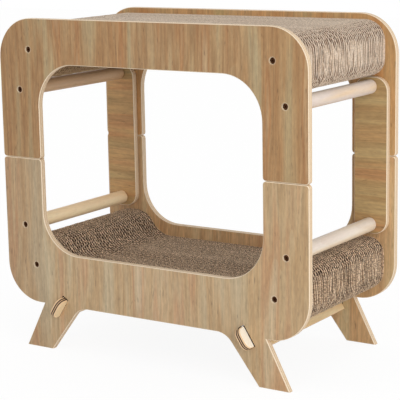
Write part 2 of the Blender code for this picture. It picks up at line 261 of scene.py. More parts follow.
def facing(start):
    """X, Y and Z of the way that the surface faces."""
    return split(start.node("NewGeometry", {}, {}, "True Normal"))


def bumped(height, depth):
    """A normal with marks of some depth in metres pressed into it."""
    return height.node("Bump", {}, {"Strength": 1.0, "Distance": depth, "Height": height})


def marks(place, per_metre, detail=3.0):
    """Soft noise around 0.5, with so many features per metre along X, Y and Z."""
    stretched = place.node("VectorMath", {"operation": "MULTIPLY"}, {0: place, 1: per_metre})
    sockets = {"Vector": stretched, "Scale": 1, "Detail": detail, "Roughness": 0.5}
    return place.node("TexNoise", {"noise_dimensions": "3D"}, sockets)


def swing(value, share):
    """Noise around 0.5 as a change of up to that share, up or down."""
    return (value - 0.5) * (2 * share)


print("noise of 0.75 with a share of 0.3 adds", round(swing(0.75, 0.3), 4))

# %% [markdown]
# ## Wood grain
#
# Wood is made of fibres that all run one way, so every mark in it is long along the fibres and
# short across them. A noise texture gives such marks when its coordinates are squeezed along the
# grain. Several sizes are laid over each other: bands a few centimetres wide, where the timber
# grew darker or greener, growth rings with a sharp dark edge, streaks of a few millimetres,
# single fibres and short flecks. The pores are dark dashes, the highest spots of a fine noise.
# A slow warp bends all of them together, which is what makes the grain lean and open around an
# old knot.

# %% Marks that follow the grain
BANDS, RINGS, STREAKS = (38, 2.6), (15, 1.2), (150, 7)  # per metre across the grain and along it
FIBRES, FLECKS, PORES = (420, 18), (380, 110), (380, 70)
SWAY, SWAY_ALONG, SWAY_REACH = 3.0, 1.6, 0.05  # how often and how far the warp bends the grain
RING_COUNT = 15
LATE_WOOD = paint(222, 180, 128)
PORE_RANGE = (0.66, 0.76)  # of the noise, so that only its highest spots are pores
FIBRE_HEIGHT = 0.5  # of a fibre, against the depth of a pore
Figure = namedtuple("Figure", "ring streak fibre fleck pore")  # strength of each kind of mark


def with_grain(along, across_value, along_value):
    """X, Y and Z values, with one for the axis that the grain follows and one for the others."""
    values = [across_value] * 3
    values[along] = along_value
    return values


def across_grain(start, along, seed):
    """The place in the wood, warped a little and shifted by a seed, as a vector in metres."""
    place = start.node("VectorMath", {"operation": "ADD"}, {0: place_of(start), 1: seed})
    shift = marks(place, with_grain(along, SWAY, SWAY_ALONG), detail=2.0)
    bend = with_grain(along, SWAY_REACH, 0.0)
    shift = shift.node("VectorMath", {"operation": "MULTIPLY"}, {0: shift, 1: bend})
    return place.node("VectorMath", {"operation": "ADD"}, {0: place, 1: shift})


def grain(start, along, seed, tint_of, figure):
    """Wood's colour, from what tint_of makes of its bands, and its marks' height for a bump."""
    place = across_grain(start, along, seed)
    bands = marks(place, with_grain(along, *BANDS), detail=2.0)
    rings = (marks(place, with_grain(along, *RINGS), detail=1.0) * RING_COUNT) % 1
    streaks = marks(place, with_grain(along, *STREAKS))
    fibres = marks(place, with_grain(along, *FIBRES))
    flecks = marks(place, with_grain(along, *FLECKS), detail=2.0)
    pores = marks(place, with_grain(along, *PORES), detail=1.0).rise(*PORE_RANGE)
    tint = (rings ** 3 * figure.ring).blend(tint_of(bands), LATE_WOOD, "MULTIPLY")
    light = 1 + swing(streaks, figure.streak) + swing(fibres, figure.fibre)
    light = light + swing(flecks, figure.fleck) - pores * figure.pore
    return tint.scaled(light), fibres * FIBRE_HEIGHT - pores


print("with the grain along Z, bands per metre:", with_grain(2, *BANDS))

# %% [markdown]
# ## Plies on the cut edges
#
# A plywood board has a fine veneer on both faces and plies of plain wood between them, each
# turned a quarter from the last. On the cut edge they show as stripes: a ply that is cut along
# its fibres is pale, and one that is cut across them is a little darker. Painting those stripes
# as a picture would need a map that follows every curved edge. Here they are found from the
# place alone: a point's share of the way through the board says which ply it lies in. A glue
# line lies wherever two plies meet, but not on the board's own two faces.

# %% Stripes through a board
PALE_PLY = paint(245, 227, 200)
DARK_PLY = paint(230, 198, 158)
GLUE_LINE = paint(176, 142, 104)
# Dark brown for the slots: partly the laser's burn, partly painted shade inside the narrow slots
# and their gaps.
BURNT_AND_SHADE = paint(52, 29, 15)
PLY_FIBRES = (300, 300, 300)  # features per metre
PLY_MOTTLE = 0.25  # how far a fibre may go towards the glue line's brown
Plies = namedtuple("Plies", "count glue_share glue pale dark")
FRAME_PLIES = Plies(5, 0.1, GLUE_LINE, PALE_PLY, DARK_PLY)


def ply_stripes(start, depth, kind):
    """The cut edge's colour at a depth of 0 to 1 through the board."""
    layer = depth * kind.count
    turned = (layer % 2) > 1
    from_glue = 0.5 - abs(layer % 1 - 0.5)
    fibre = marks(place_of(start), PLY_FIBRES, detail=2.0)
    wood = (fibre * PLY_MOTTLE).blend(turned.blend(kind.pale, kind.dark), GLUE_LINE)
    between = (0.5 - abs(depth - 0.5)) > (0.5 / kind.count)
    glued = 1 - from_glue.rise(kind.glue_share / 2, kind.glue_share)
    return (glued * between).blend(wood, kind.glue)


print("plies in a frame:", FRAME_PLIES.count)

# %% [markdown]
# ## The frames' veneer
#
# Each frame half is one board, and its veneer's grain runs upright. The two halves of a frame
# come from different sheets, so their bands don't meet at the seam: the upper one is browner,
# and the lower one is paler and greyer. Their inner faces get brighter, more golden tones, which
# paint the warm light inside the house. One picture of oak would repeat, so a ramp gives the
# bands their tones instead. A sheet of veneer is also joined from leaves about a hand wide, and
# no two leaves have quite the same tone. A ramp with steps holds the leaves' tones from left to
# right, and the grain's colour is multiplied by it. The leftmost leaf is the darkest, which
# paints the shade that deepens towards the left side.

# %% Tones of the veneer
WARM_TINTS = [
    (0.30, paint(174, 156, 121)),
    (0.38, paint(174, 150, 113)),
    (0.44, paint(175, 143, 103)),
    (0.50, paint(162, 126, 86)),
    (0.54, paint(174, 140, 100)),
    (0.60, paint(163, 121, 80)),
    (0.68, paint(184, 154, 117)),
]
PALE_TINTS = [
    (0.30, paint(192, 174, 144)),
    (0.38, paint(192, 171, 139)),
    (0.44, paint(194, 167, 131)),
    (0.50, paint(184, 155, 118)),
    (0.54, paint(194, 169, 134)),
    (0.60, paint(190, 153, 117)),
    (0.68, paint(199, 177, 146)),
]
# Inner faces: brighter, more golden tones than the outer ones, as painted light inside the house.
WARM_INSIDE_LIT = [
    (0.30, paint(188, 168, 120)),
    (0.42, paint(198, 162, 114)),
    (0.50, paint(190, 150, 102)),
    (0.58, paint(205, 161, 110)),
    (0.70, paint(192, 143, 91)),
]
PALE_INSIDE_LIT = [
    (0.30, paint(211, 188, 147)),
    (0.42, paint(211, 180, 138)),
    (0.50, paint(196, 159, 118)),
    (0.58, paint(214, 176, 130)),
    (0.70, paint(197, 153, 110)),
]
# The first step is the darkest leaf, painted shade on the frames' left side; the other leaves
# differ at random.
WARM_LEAVES_AND_SHADE = [
    (0.00, paint(246, 240, 232)),
    (0.16, paint(255, 252, 248)),
    (0.33, paint(255, 248, 240)),
    (0.45, paint(255, 255, 255)),
    (0.60, paint(254, 253, 250)),
    (0.73, paint(255, 255, 253)),
    (0.86, paint(253, 246, 236)),
]
# The first step is the darkest leaf, painted shade on the frames' left side; the other leaves
# differ at random.
PALE_LEAVES_AND_SHADE = [
    (0.00, paint(238, 233, 228)),
    (0.13, paint(252, 251, 248)),
    (0.31, paint(250, 247, 242)),
    (0.46, paint(255, 255, 255)),
    (0.61, paint(250, 247, 242)),
    (0.80, paint(248, 244, 236)),
]
print(len(WARM_LEAVES_AND_SHADE), "leaves in an upper half and", len(PALE_LEAVES_AND_SHADE), "in a lower one")

# %% [markdown]
# ## Marks from the making, and shade in the slots
#
# The drill has lifted a few fibres around each screw hole, which leaves a thin pale ring. The
# slots for the stretchers were cut by a laser, and their walls are painted dark: partly the
# laser's burn and partly painted shade inside the narrow slots. Both could be painted on by
# hand, but they are found here from the distance to a known point, which stays right when the
# part changes its size.

# %% Marks around holes and slots
HOLE_RADIUS = 0.0046  # of a screw hole
RING_WIDTH = 0.0012  # of the pale ring around it
SLOT_REACH = 0.021  # a little less than the way from a slot's middle to the leg's edges


def middle(name):
    """The middle of a solid piece's box."""
    low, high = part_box(name)
    return (low + high) / 2


def distance_from(x, z, centre_x, centre_z):
    """How far a point lies from a spot or from its mirror image, seen along Y."""
    return ((abs(x) - abs(centre_x)) ** 2 + (z - centre_z) ** 2) ** 0.5


def hole_ring(start, hole_x, hole_z):
    """Goes to 1 in a thin ring around a screw hole."""
    x, _, z = position(start)
    off_ring = abs(distance_from(x, z, hole_x, hole_z) - HOLE_RADIUS)
    return 1 - off_ring.rise(0.4 * RING_WIDTH, RING_WIDTH)


def near_slot(start):
    """1 within reach of the middle of the slots that the stretchers' tenons pass through."""
    x, _, z = position(start)
    slot = middle("right_stretcher")
    return distance_from(x, z, slot.x, slot.z) < SLOT_REACH


print("a slot's middle lies at", *short(middle("right_stretcher").xz), "m in X and Z")

# %% [markdown]
# ## Plywood boards
#
# The direction that a board's surface faces tells its veneer from its cut edge, and whether it
# faces out or in, which gives the inner faces their brighter tones of painted light. Giving each
# face a material of its own would need the faces to be picked by hand, so one material reads
# that direction instead and mixes veneer, plies and the marks from the making, with painted
# shade in the slots.

# %% A plywood material
UPRIGHT, SIDEWAYS, THROUGH = 2, 0, 1  # axes that a board's grain can follow
PLY_THICKNESS = 0.009
HALF_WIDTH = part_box("front_upper_frame")[1].x
RING_STRENGTH = 0.25
BROAD = 0.9  # cosine of the tilt up to which a face counts as one of a board's broad faces
VENEER_FIGURE = Figure(ring=0.18, streak=0.11, fibre=0.34, fleck=0.22, pore=0.26)
VENEER_RELIEF = 0.00008


def plywood(name, along, seed, tints, lit_inside_tints, outer, leaves=None, holes=()):
    """A board that stands across Y, with its outer face that far from the middle plane."""
    material, start = new_material(name)
    x, y, _ = position(start)
    _, towards_y, _ = facing(start)
    # The inner faces take the brighter inside tones, which are painted light.
    inside = (towards_y * y) < 0

    def tint_of(bands):
        return inside.blend(bands.ramp(tints), bands.ramp(lit_inside_tints))

    colour, height = grain(start, along, seed, tint_of, VENEER_FIGURE)
    if leaves:
        colour = colour.times((x / (2 * HALF_WIDTH) + 0.5).ramp(leaves, "steps"))
    for hole in holes:
        colour = (hole_ring(start, *hole) * RING_STRENGTH).blend(colour, PALE_PLY)
    stripes = ply_stripes(start, (outer - abs(y)) / PLY_THICKNESS, FRAME_PLIES)
    # Edges near the slots are painted dark, partly as the laser's burn and partly as painted shade
    # in the slot.
    edge = near_slot(start).blend(stripes, BURNT_AND_SHADE)
    colour = (abs(towards_y) > BROAD).blend(edge, colour)
    surface(start, colour, Roughness=0.62, Normal=bumped(height, VENEER_RELIEF))
    return material


print("leaves are laid over a width of", round(2 * HALF_WIDTH, 4), "m")

# %% [markdown]
# ## The frames
#
# No two of the four halves have the same piece of veneer, so each gets a material with a seed of
# its own. The screw holes' places are read from the screws, and the outer face's from the solid,
# because numbers typed in again would part from the solids when the part changes.

# %% Dress the frames
FRAME_SEED = (1.7, 0.3, 2.9)  # steps from one half's piece of veneer to the next one's


def dress(name, material):
    """Puts a finish on a solid piece."""
    for slot in nodes[name].material_slots:
        slot.material = material


outer_face = -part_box("front_upper_frame")[0].y
inner_face = outer_face - PLY_THICKNESS
halves = [(face, level) for face in ("front", "back") for level in ("upper", "lower")]
for number, (face, level) in enumerate(halves):
    name = f"{face}_{level}_frame"
    right_screws = [f"{face}_{level}_right_{kind}_screw" for kind in ("rail", "pad_rod")]
    holes = [(middle(screw).x, middle(screw).z) for screw in right_screws]
    tints = (WARM_TINTS, WARM_INSIDE_LIT) if level == "upper" else (PALE_TINTS, PALE_INSIDE_LIT)
    leaves = WARM_LEAVES_AND_SHADE if level == "upper" else PALE_LEAVES_AND_SHADE
    seed = [step * number for step in FRAME_SEED]
    dress(name, plywood(name + "_veneer", UPRIGHT, seed, *tints, outer_face, leaves, holes))
    print(name, "with screw holes at", *(short(hole) for hole in holes))

# %% [markdown]
# ## The splice plates
#
# Where the two halves of a frame meet, a plate with rounded ends bridges the seam on the inside.
# It is cut from the same plywood with the grain across, so that it shows bands that lie flat,
# and its timber is more olive. The same function makes it, with its own tones and place.

# %% Veneer for the splice plates
OLIVE_TINTS = [
    (0.30, paint(186, 164, 117)),
    (0.42, paint(188, 157, 107)),
    (0.50, paint(174, 141, 93)),
    (0.58, paint(194, 154, 103)),
    (0.64, paint(188, 140, 92)),
    (0.72, paint(170, 132, 88)),
]
splice_outer = -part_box("front_left_splice_plate")[0].y
plates = [(face, side) for face in ("front", "back") for side in ("left", "right")]
for number, (face, side) in enumerate(plates):
    name = f"{face}_{side}_splice_plate"
    seed = (0.8 * number, 1.1, 0.37 * number)
    veneer = plywood(name + "_veneer", SIDEWAYS, seed, OLIVE_TINTS, OLIVE_TINTS, splice_outer)
    dress(name, veneer)
print(len(plates), "splice plates, with outer faces", round(2 * splice_outer, 4), "m apart")

# %% [markdown] ## Rails and rods The rails are turned dowels with fibres along the rail, and
# their marks are so fine that a soft mottling is all that shows. The same grain is used for all
# of them, with weak marks and a ramp of tones for each rail. The right rails show the wood's
# own pale tone; the upper left one is darker brown as painted shade, and the lower left one is
# golden as painted warm light bounced off the wood. The thinner rods inside the pads get the
# finish of the rail beside them.

# %% Wood for the dowels
PALE_WOOD = [
    (0.32, paint(232, 208, 174)),
    (0.46, paint(234, 220, 204)),
    (0.60, paint(228, 212, 200)),
    (0.72, paint(230, 202, 168)),
]
# Painted warm bounce light for the lower left rail, which stands in the house's shade.
GOLDEN_BOUNCE_LIGHT_WOOD = [
    (0.32, paint(248, 216, 168)),
    (0.50, paint(255, 232, 190)),
    (0.68, paint(246, 214, 172)),
]
# Painted shade for the upper left rail, beside the roof's underside.
SHADED_BROWN_WOOD = [
    (0.32, paint(196, 156, 116)),
    (0.50, paint(206, 170, 132)),
    (0.68, paint(190, 152, 114)),
]
# Each rail's tones: the wood's own on the right, with painted shade and painted bounce light on
# the left.
RAIL_WOOD_LIGHT_AND_SHADE = {
    ("upper", "left"): SHADED_BROWN_WOOD,
    ("upper", "right"): PALE_WOOD,
    ("lower", "left"): GOLDEN_BOUNCE_LIGHT_WOOD,
    ("lower", "right"): PALE_WOOD,
}
DOWEL_FIGURE = Figure(ring=0.1, streak=0.06, fibre=0.08, fleck=0.08, pore=0.05)
DOWEL_RELIEF = 0.00004


def dowel_wood(name, tints, seed):
    """Sanded wood with its grain along Y."""
    material, start = new_material(name)
    colour, height = grain(start, THROUGH, seed, lambda bands: bands.ramp(tints), DOWEL_FIGURE)
    surface(start, colour, Roughness=0.5, Normal=bumped(height, DOWEL_RELIEF))
    return material


for number, ((level, side), tints) in enumerate(RAIL_WOOD_LIGHT_AND_SHADE.items()):
    for kind in ("rail", "pad_rod"):
        name = f"{level}_{side}_{kind}"
        dress(name, dowel_wood(name + "_wood", tints, (0.4 * number, 0, 0.9 * number)))

# %% [markdown]
# ## The stretchers
#
# A board joins each pair of legs, front to back, and its tenons come out through slots in the
# legs. It leans as the legs do, so the share of the way through it is measured along the
# direction that it faces, which leans too. The broad faces are pale yellow, with the grain along
# the board. Where a tenon passes through the leg it is painted dark, as painted shade inside the
# slot. Outside the leg it was sanded: its end shows three plies with dark, wide glue lines, and
# its broad faces have a tint of their own, paler on the right tip as painted light and more
# orange on the left tip as painted shade.

# %% Plywood for the stretchers
YELLOW_TINTS = [
    (0.35, paint(246, 210, 156)),
    (0.50, paint(255, 230, 184)),
    (0.65, paint(248, 204, 146)),
]
# The tips' wide glue lines take the same dark, which also paints the shade in the slot's gap
# beside them.
TIP_PLIES = Plies(3, 0.42, BURNT_AND_SHADE, paint(244, 208, 164), paint(226, 186, 142))
# Sanded tips' tints: the right one paler as painted light, the left one more orange as painted
# shade.
TIP_TINTS_WITH_LIGHT = {"left": paint(248, 222, 180), "right": paint(255, 246, 228)}
STRETCHER_FIGURE = Figure(ring=0.15, streak=0.08, fibre=0.1, fleck=0.1, pore=0.06)
STRETCHER_RELIEF = 0.00005


def lean_of(name):
    """How far a leaning board's broad faces turn from upright, from its solid's largest face."""
    largest = max(nodes[name].data.polygons, key=lambda face: face.area)
    return math.atan2(largest.normal.z * math.copysign(1, largest.normal.x), abs(largest.normal.x))


def leaning_plywood(side, seed):
    """Plywood for a board that leans in XZ, with its grain along Y."""
    board = f"{side}_stretcher"
    lean = lean_of(board)
    normal = Vector((math.cos(lean), 0, math.sin(lean)))
    centre = middle(board)
    material, start = new_material(board + "_plywood")
    colour, height = grain(
        start, THROUGH, seed, lambda bands: bands.ramp(YELLOW_TINTS), STRETCHER_FIGURE
    )
    x, y, z = position(start)
    to_x, _, to_z = facing(start)
    # Tips outside the legs take their side's tint, with painted light on the right and painted
    # shade on the left.
    colour = (abs(y) > outer_face).blend(colour, TIP_TINTS_WITH_LIGHT[side])
    off_centre = (x - centre.x) * normal.x + (z - centre.z) * normal.z
    stripes = ply_stripes(start, off_centre / PLY_THICKNESS + 0.5, TIP_PLIES)
    broad = abs(to_x * normal.x + to_z * normal.z) > BROAD
    colour = broad.blend(stripes, colour)
    # The part of a tenon inside the leg's slot is painted dark, as painted shade.
    in_slot = (abs(y) > inner_face) * (abs(y) < outer_face)
    colour = in_slot.blend(colour, BURNT_AND_SHADE)
    surface(start, colour, Roughness=0.6, Normal=bumped(height, STRETCHER_RELIEF))
    return material


for number, side in enumerate(("left", "right")):
    dress(f"{side}_stretcher", leaning_plywood(side, (0.2, 0.7 * number, 0.5)))
    print(side, "stretcher leans", round(math.degrees(lean_of(f"{side}_stretcher")), 2), "degrees")

# %% [markdown]
# ## The screws
#
# The screws sit deep in their holes and are blackened, so that only a dark dot shows. A plain
# black would look like a hole without a screw. Blackened steel still has a little sheen, which
# wears to browner metal in spots, so both its colour and its roughness follow one noise.

# %% Black steel
BLACKENED, WORN = paint(70, 40, 20), paint(120, 80, 48)
WEAR_SPOTS = (900, 900, 900)  # features per metre


def black_steel():
    """Blackened steel with worn spots."""
    material, start = new_material("black_steel")
    wear = marks(place_of(start), WEAR_SPOTS, detail=2.0).rise(0.5, 0.75)
    colour = wear.blend(BLACKENED, WORN)
    surface(start, colour, Metallic=0.85, Roughness=0.55 - wear * 0.2)
    return material


screws = [name for name in nodes if name.endswith("_screw")]
steel = black_steel()
for name in screws:
    dress(name, steel)
print(len(screws), "screws")

# %% [markdown]
# ## The outline of a scratch pad
#
# A scratch pad is a stack of corrugated strips glued side by side and cut to shape across the
# flutes. Its look comes from real holes: light falls a little way into each flute, and the thin
# cut edges of the paper stay bright. A texture could fake that from one side only, so the pads
# are built from sheets of paper. The sheets take their outline from the solid block, with an
# upright ray at each place along it, so that the paper fills the block and leaves the two rods'
# bores open. An outline typed in again here would part from the block when its size changes.

# %% Find the outline of a block
INWARD = 0.00002  # keeps a ray off the corners of the solid


def heights_at(tree, x):
    """Heights where an upright line at x, in the middle plane, crosses the block, from low."""
    heights = []
    ahead = Vector((x, 0, 1))
    while True:
        hit = tree.ray_cast(ahead, Vector((0, 0, -1)))[0]
        if hit is None:
            return heights[::-1]
        heights.append(hit.z)
        ahead = hit - Vector((0, 0, INWARD))


def stations(block, step):
    """Places along X, to 0.01 mm, where the outline is read: its corners and an even row."""
    front = min(corner.co.y for corner in block.data.vertices) + INWARD
    corners = {round(corner.co.x, 5) for corner in block.data.vertices if corner.co.y < front}
    reach = max(corners)
    count = round(2 * reach / step)
    row = {round(-reach + 2 * reach * i / count, 5) for i in range(count + 1)}
    places = sorted(corners | row)
    far_enough = [i == 0 or x - places[i - 1] > step / 4 for i, x in enumerate(places)]
    kept = [x for x, far in zip(places, far_enough) if far or x in corners]
    return [x - math.copysign(INWARD, x) if abs(x) > INWARD else x for x in kept]


graph = bpy.context.evaluated_depsgraph_get()
blocks = {level: nodes[f"{level}_scratch_pad"] for level in ("upper", "lower")}
trees = {level: BVHTree.FromObject(block, graph) for level, block in blocks.items()}
for level, tree in trees.items():
    print("heights of the", level, "block's middle:", *short(heights_at(tree, 0)), "m")

# %% [markdown]
# ## Sheets made of columns
#
# A sheet of paper is modelled as upright columns of corners, one at each place along the
# outline, with faces between neighbours. Where a bore cuts a column in two, it has two runs of
# corners. Faces of four corners join columns that match, and a strip of triangles joins columns
# that don't. Cutting flat sheets with a Boolean would give the same holes, but on so many thin
# sheets it is slow and often fails.

# %% Join columns into sheets
def column(x, heights, y_at, rows):
    """One upright line of a sheet: its corners, for each stretch of it that lies in the block."""
    runs = []
    for low, high in zip(heights[::2], heights[1::2]):
        places = [low + (high - low) * row / rows for row in range(rows + 1)]
        runs.append([(x, y_at(x, z), z) for z in places])
    return runs


def stitched(a, b):
    """Triangles between two rows of corners that have different numbers of them."""
    faces, i, j = [], 0, 0
    while i < len(a) - 1 or j < len(b) - 1:
        if (i + 1) * (len(b) - 1) <= (j + 1) * (len(a) - 1):
            faces.append((a[i], b[j], a[i + 1]))
            i += 1
        else:
            faces.append((a[i], b[j], b[j + 1]))
            j += 1
    return faces


def faces_between(left, right):
    """Faces between two columns, given as runs of corner numbers."""
    if len(left) != len(right):
        return stitched(sum(left, []), sum(right, []))
    faces = []
    for a, b in zip(left, right):
        if len(a) == len(b):
            faces += [(a[i], b[i], b[i + 1], a[i + 1]) for i in range(len(a) - 1)]
        else:
            faces += stitched(a, b)
    return faces


def sheet_faces(columns, offset):
    """Corners and faces of one sheet."""
    corners, numbered = [], []
    for runs in columns:
        numbers = []
        for run in runs:
            first = offset + len(corners)
            numbers.append(list(range(first, first + len(run))))
            corners += run
        numbered.append(numbers)
    pairs = zip(numbered, numbered[1:])
    return corners, [face for left, right in pairs for face in faces_between(left, right)]


print("rows of 2 and 4 corners are joined by", len(stitched([0, 1], [2, 3, 4, 5])), "triangles")

# %% [markdown]
# ## How deep a point lies
#
# Inside a flute it gets dark within millimetres, much faster than a few light bounces can show.
# So each corner of the paper keeps how far it lies from the cut top and from the cut underside,
# and the paper's colour darkens with that depth. The distance is square to the cut, so on a
# slope the upright distance is shortened by the slope's cosine.

# %% Measure the ways out
DEPTHS = ("from_top", "from_below")  # what each corner keeps


def shortening(edge, low, high):
    """The cosine of the slope between two of an edge's points."""
    run, rise = edge[high][0] - edge[low][0], edge[high][1] - edge[low][1]
    return run / math.hypot(run, rise)


def ways_out(columns):
    """How far each corner lies from the pad's top and from its underside, square to them."""
    from_top, from_below = [], []
    tops = [(runs[-1][-1][0], runs[-1][-1][2]) for runs in columns]
    floors = [(runs[0][0][0], runs[0][0][2]) for runs in columns]
    for i, runs in enumerate(columns):
        low, high = max(i - 1, 0), min(i + 1, len(columns) - 1)
        heights = [z for run in runs for _, _, z in run]
        from_top += [(tops[i][1] - z) * shortening(tops, low, high) for z in heights]
        from_below += [(z - floors[i][1]) * shortening(floors, low, high) for z in heights]
    return from_top, from_below


print("on a slope of 45 degrees the way out is", round(shortening([(0, 0), (1, 1)], 0, 1), 4))

# %% [markdown]
# ## Kraft paper
#
# Kraft paper is brown with pale and dark fibres pressed into it. The cut edge of the strips is
# what faces out of a pad, and a ramp over the depth paints shade on the paper: it goes from the
# light edge to the dark inside of the flutes. Light reaches further into the pad's ends, where the
# flutes lie open along their length, so the painted shade starts deeper there. The bed's paper is
# darker, as painted shade under the roof, and it has more spots; the roof's underside is made
# browner than its top as painted shade.

# %% Paper materials
# Depth over which the painted shade in the flutes deepens.
SHADE_DEPTH = 0.006
END_SHARE = 0.3  # how much slower it gets dark from the pad's ends inwards
PAD_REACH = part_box("lower_scratch_pad")[1].x
UNDER_SHADE_REACH = 0.19  # how far along X the painted shade on the underside goes
# Multiplies the roof's underside darker and browner, as painted shade.
UNDER_SHADE_TONE = paint(211, 194, 164)
PAPER_FIBRES = (900, 900, 300)  # features per metre
PAPER_SPOTS = (520, 260, 520)
SPOT_RANGE = (0.40, 0.60)  # of the noise, which gives the spots their edges
PAPER_RELIEF = 0.0001
# From the cut edge's own colour down to painted shade deep in the flutes.
ROOF_TONE_AND_SHADE = [
    (0.0, paint(226, 208, 188)),
    (0.05, paint(198, 174, 150)),
    (0.16, paint(104, 70, 44)),
    (0.5, paint(40, 24, 14)),
]
# The bed's stops are darker than the roof's, as painted shade under the roof, over the painted
# shade of the depth.
BED_TONE_AND_SHADE = [
    (0.0, paint(215, 190, 162)),
    (0.05, paint(160, 131, 102)),
    (0.16, paint(74, 47, 29)),
    (0.5, paint(26, 16, 10)),
]


def kraft(name, fluff, wear, stops, under_shade_tone=None):
    """Brown paper, with painted shade that deepens with the depth, and fluff and wear as shares of
    light and dark fibres and spots.
    """
    material, start = new_material(name)
    top, below = (start.node("Attribute", {"attribute_name": kind}, {}, "Fac") for kind in DEPTHS)
    x, _, _ = position(start)
    depth = top.smaller(below).smaller((PAD_REACH - abs(x)) * END_SHARE)
    # Painted shade: darker with the depth into the flutes.
    colour = (depth / SHADE_DEPTH).ramp(stops)
    if under_shade_tone:
        # Painted shade on the roof's underside, away from its ends.
        under = (below < top) * (abs(x) < UNDER_SHADE_REACH)
        colour = under.blend(colour, under_shade_tone, "MULTIPLY")
    place = place_of(start)
    fibres = marks(place, PAPER_FIBRES, detail=2.0)
    spots = marks(place, PAPER_SPOTS, detail=1.0).rise(*SPOT_RANGE)
    colour = colour.scaled(1 + swing(fibres, fluff) + swing(spots, wear))
    surface(start, colour, Roughness=0.9, Normal=bumped(fibres, PAPER_RELIEF))
    return material


papers = {
    "upper": kraft("roof_kraft", 0.25, 0.12, ROOF_TONE_AND_SHADE, UNDER_SHADE_TONE),
    "lower": kraft("bed_kraft", 0.3, 0.42, BED_TONE_AND_SHADE),
}
print("papers:", *(material.name for material in papers.values()))

# %% [markdown]
# ## One object from many sheets
#
# Real strips are glued into one block, so their sheets share an object, which is also quicker
# to render than hundreds of small ones. The sheets are modelled without thickness, and a
# Solidify modifier then makes them as thick as paper. Building both sides of each sheet by hand
# would double every step above.

# %% Make one object of several sheets
def paper(name, sheets, thickness, material):
    """One object made of several sheets."""
    corners, faces = [], []
    depths = {kind: [] for kind in DEPTHS}
    for columns in sheets:
        new_corners, new_faces = sheet_faces(columns, len(corners))
        corners += new_corners
        faces += new_faces
        for kept, found in zip(depths.values(), ways_out(columns)):
            kept += found
    mesh = bpy.data.meshes.new(name)
    mesh.from_pydata(corners, [], faces)
    mesh.shade_smooth()
    for kind, values in depths.items():
        mesh.attributes.new(kind, "FLOAT", "POINT").data.foreach_set("value", values)
    mesh.materials.append(material)
    piece = bpy.data.objects.new(name, mesh)
    bpy.context.scene.collection.objects.link(piece)
    solid = piece.modifiers.new("paper", "SOLIDIFY")
    solid.thickness = thickness
    solid.offset = 0
    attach(piece, "root")
    print(name, len(sheets), "sheets,", len(faces), "faces")
    return piece


print("each corner of the paper keeps", " and ".join(DEPTHS))

# %% [markdown]
# ## Liners
#
# Each layer of corrugated board is a flat liner and a wavy medium. A glued stack is never quite
# even, and an even one would look like a machine part, so the liners bow a little. The frames
# press the outermost ones flat. Random numbers would make neighbours jump apart, so the bow is
# read from a smooth noise at places that depend on the layer, the place and the pad only. It
# comes out the same each time, and neighbours bow alike.

# %% Bow the liners
LAYER_DEPTH = 0.0052
LINER_THICKNESS = 0.0006
BOW = 0.0040  # how far a strip may bend aside
EVEN_LAYERS = 6  # outermost layers, over which the bow fades out towards the frames
BOW_ALONG, BOW_UP, BOW_ROLL = 8, 6, 16  # how quickly the bow changes along a strip and up it
BOW_LAYER, BOW_PAD = 0.15, 7  # how far the noise moves on from layer to layer and pad to pad

Stack = namedtuple("Stack", "low high count depth shift")  # a pad's box and its layers


def liner_y(stack, layer, x, z):
    """Y of a liner's middle, with the slight bow that glued strips have."""
    bow = BOW * min(1, layer / EVEN_LAYERS, (stack.count - layer) / EVEN_LAYERS)
    along, up = x * BOW_ALONG, layer * BOW_LAYER + z * BOW_UP
    bow *= noise((along, up, stack.shift * BOW_PAD + z * BOW_ROLL))
    return stack.low.y + LINER_THICKNESS / 2 + stack.depth * layer + bow


print("liners lie", LAYER_DEPTH, "m apart and bow by up to", BOW, "m")

# %% [markdown]
# ## Flutes
#
# A flute is nearly a sine, with flanks a little straighter, and it swings from one liner to the
# next. The flutes of one strip lean, and they are shifted against those of the next. Strips that
# were cut from one sheet keep nearly the same shift, which shows as batches. The same noise says
# how much, read once for each layer.

# %% Swing the flutes
MEDIUM_THICKNESS = 0.0006
FLUTE_PITCH = 0.0075
FLANK = 0.08  # how much straighter than a sine's the flanks of a flute are
LEAN = 0.5  # how far a strip's flutes may lean, as a share of their length
BATCH = 9  # strips that were cut from one sheet
BATCH_SHIFT, LAYER_SHIFT, LOOSE_SHIFT = 2.3, 0.3, 0.7  # of the flutes, in radians
LOOSE, LEANING = (1.9, 1, 4), (0.31, 1, 2)  # steps of the noise per layer and pad, and its row


def chance(stack, layer, kind):
    """A number from -1 to 1 that belongs to one layer of one pad."""
    layer_step, pad_step, row = kind
    return noise((layer * layer_step, stack.shift * pad_step, row))


def wave(x, shift):
    """A flute's shape, from -1 to 1."""
    turn = math.tau * (x / FLUTE_PITCH) + shift
    return math.sin(turn) * (1 + FLANK - FLANK * math.sin(turn) ** 2)


def medium_y(stack, layer, x, z):
    """Y of a medium's middle, as it swings between the liners on its two sides."""
    below, above = liner_y(stack, layer, x, z), liner_y(stack, layer + 1, x, z)
    reach = (above - below - LINER_THICKNESS - MEDIUM_THICKNESS) / 2 - INWARD
    shift = stack.shift + BATCH_SHIFT * (layer // BATCH) + LAYER_SHIFT * layer
    shift += LOOSE_SHIFT * chance(stack, layer, LOOSE)
    lean = LEAN * chance(stack, layer, LEANING)
    return (below + above) / 2 + reach * wave(x + lean * (z - stack.high.z), shift)


print("a quarter of the way along, a flute is at", round(wave(FLUTE_PITCH / 4, 0), 4))

# %% [markdown]
# ## Strips cut to shape
#
# Every strip is cut a little shorter and lower than the block, by its own amount, which gives
# the pad's cut faces their roughness. A column of only two corners is enough where a sheet is
# seen from its cut edge. At the pad's ends its broad side shows, with the lean of the flutes,
# so the columns there have more rows.

